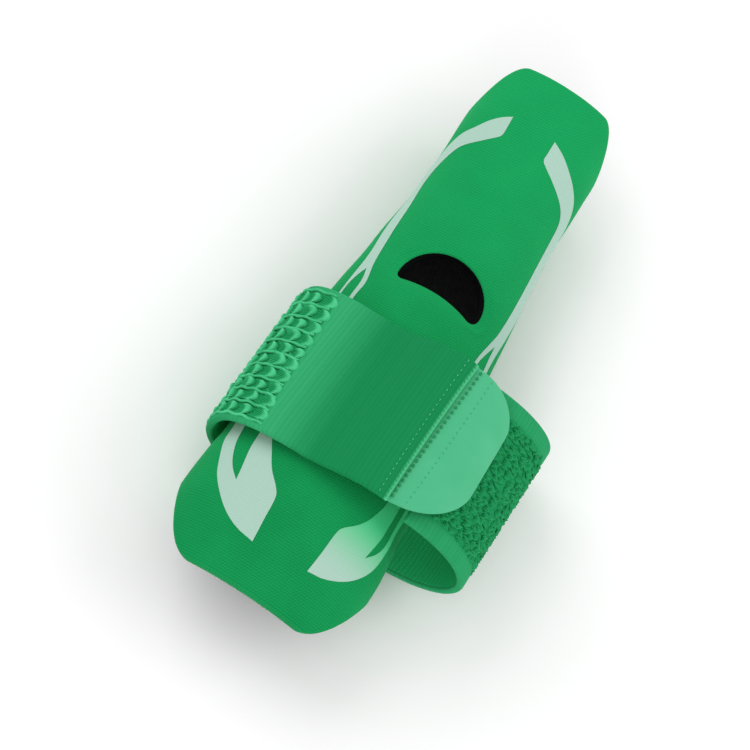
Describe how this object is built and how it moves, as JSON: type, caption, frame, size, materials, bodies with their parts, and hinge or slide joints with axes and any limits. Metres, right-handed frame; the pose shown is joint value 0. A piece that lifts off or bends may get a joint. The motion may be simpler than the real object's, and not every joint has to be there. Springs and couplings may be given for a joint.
{
  "type": "finger support wrap",
  "caption": "Soft open-ended finger sleeve with a vent hole, closed by an elastic strap that fastens on itself with a rounded tab.",
  "frame": {"origin": "under the middle of the whole wrap, on the surface that it lies on", "axes": "+Y along the finger towards its tip, +Z out of the front, +X towards the loose side of the strap"},
  "size_m": [0.0384, 0.0788, 0.0221],
  "materials": {
    "foam_cloth": "smooth green knit laminated on thin black foam, matte",
    "elastic_band": "woven green elastic, loop pile on its outer face and smooth at its end",
    "hook_tape": "smooth light green back of a hook fastener, slightly satin"
  },
  "bodies": {
    "root": {"sleeve": "foam_cloth", "strap": "elastic_band", "hook_tab": "hook_tape"}
  },
  "joints": []
}
